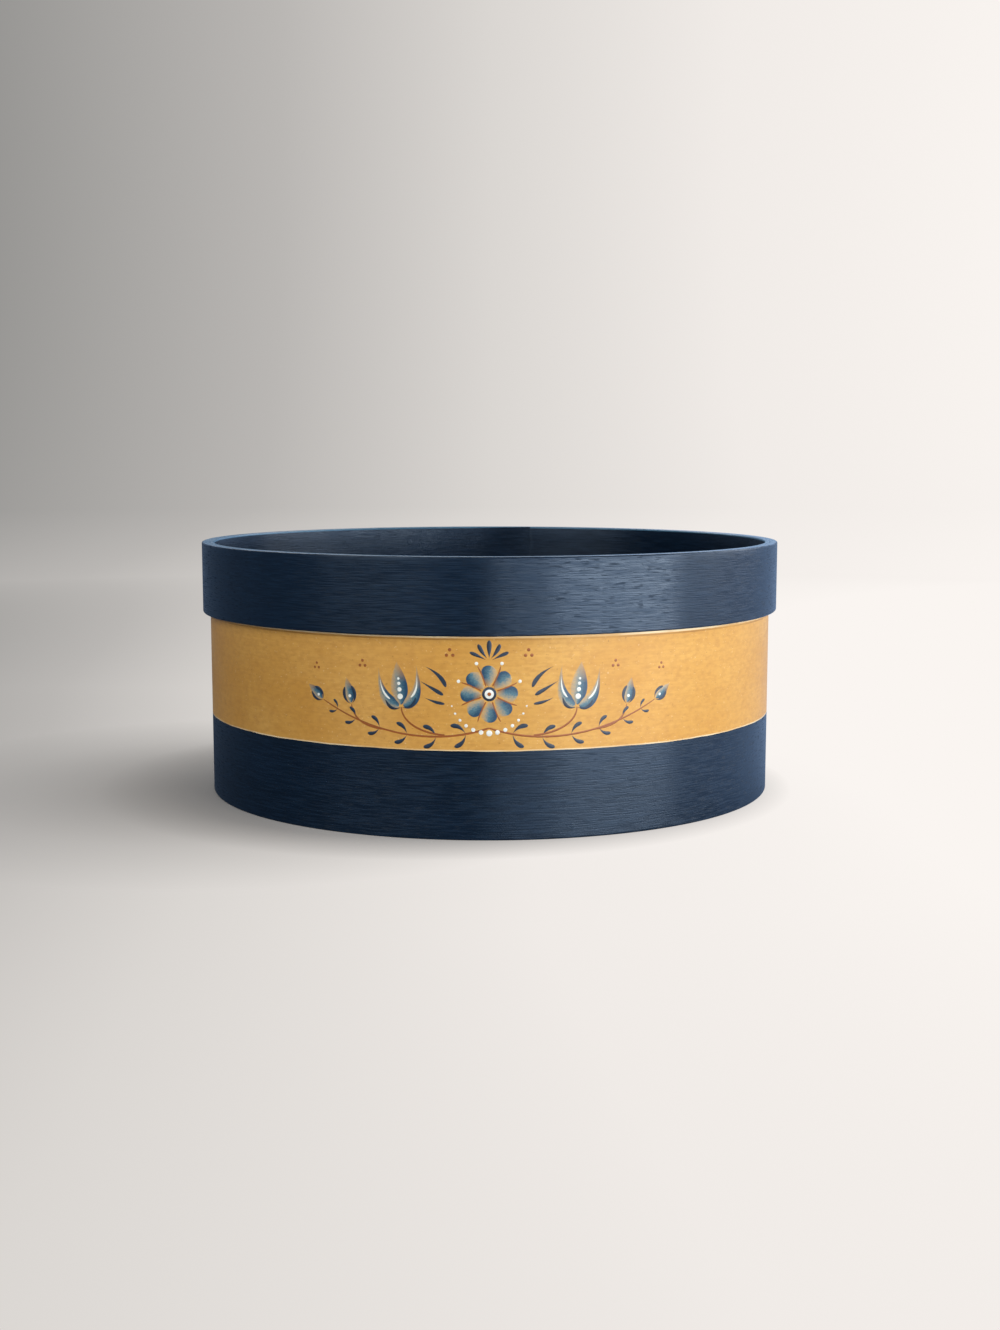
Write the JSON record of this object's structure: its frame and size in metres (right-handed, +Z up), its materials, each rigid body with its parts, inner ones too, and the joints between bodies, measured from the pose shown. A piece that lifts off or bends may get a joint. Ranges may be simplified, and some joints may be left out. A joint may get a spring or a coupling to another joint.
{
  "type": "round painted bentwood box",
  "caption": "Round open bentwood box with a raised hoop round its rim, a lapped side wall and a pegged bottom, painted dark blue with a broad gilded band for holding small household goods.",
  "frame": {"origin": "on the table under the middle of the box, in the plane of the side wall's lower edge", "axes": "+Z up through the open top, -Y towards the decorated front, +Y towards the laps at the back"},
  "size_m": [0.254, 0.254, 0.1088],
  "materials": {
    "gilded_wood": "gilded band, satin",
    "blue_painted_wood": "brushed satin paint",
    "peg_wood": "bare hardwood",
    "tack_metal": "dull, painted over outside"
  },
  "bodies": {
    "root": {"side_wall": "gilded_wood", "rim_hoop": "blue_painted_wood", "bottom_panel": "blue_painted_wood", "bottom_peg_1": "peg_wood", "bottom_peg_2": "peg_wood", "bottom_peg_3": "peg_wood", "bottom_peg_4": "peg_wood", "bottom_peg_5": "peg_wood", "bottom_peg_6": "peg_wood", "bottom_peg_7": "peg_wood", "bottom_peg_8": "peg_wood", "bottom_peg_9": "peg_wood", "bottom_peg_10": "peg_wood", "bottom_peg_11": "peg_wood", "bottom_peg_12": "peg_wood", "wall_lap_tack_1": "tack_metal", "wall_lap_tack_2": "tack_metal", "wall_lap_tack_3": "tack_metal", "wall_lap_tack_4": "tack_metal", "hoop_lap_tack_1": "tack_metal", "hoop_lap_tack_2": "tack_metal"}
  },
  "joints": []
}
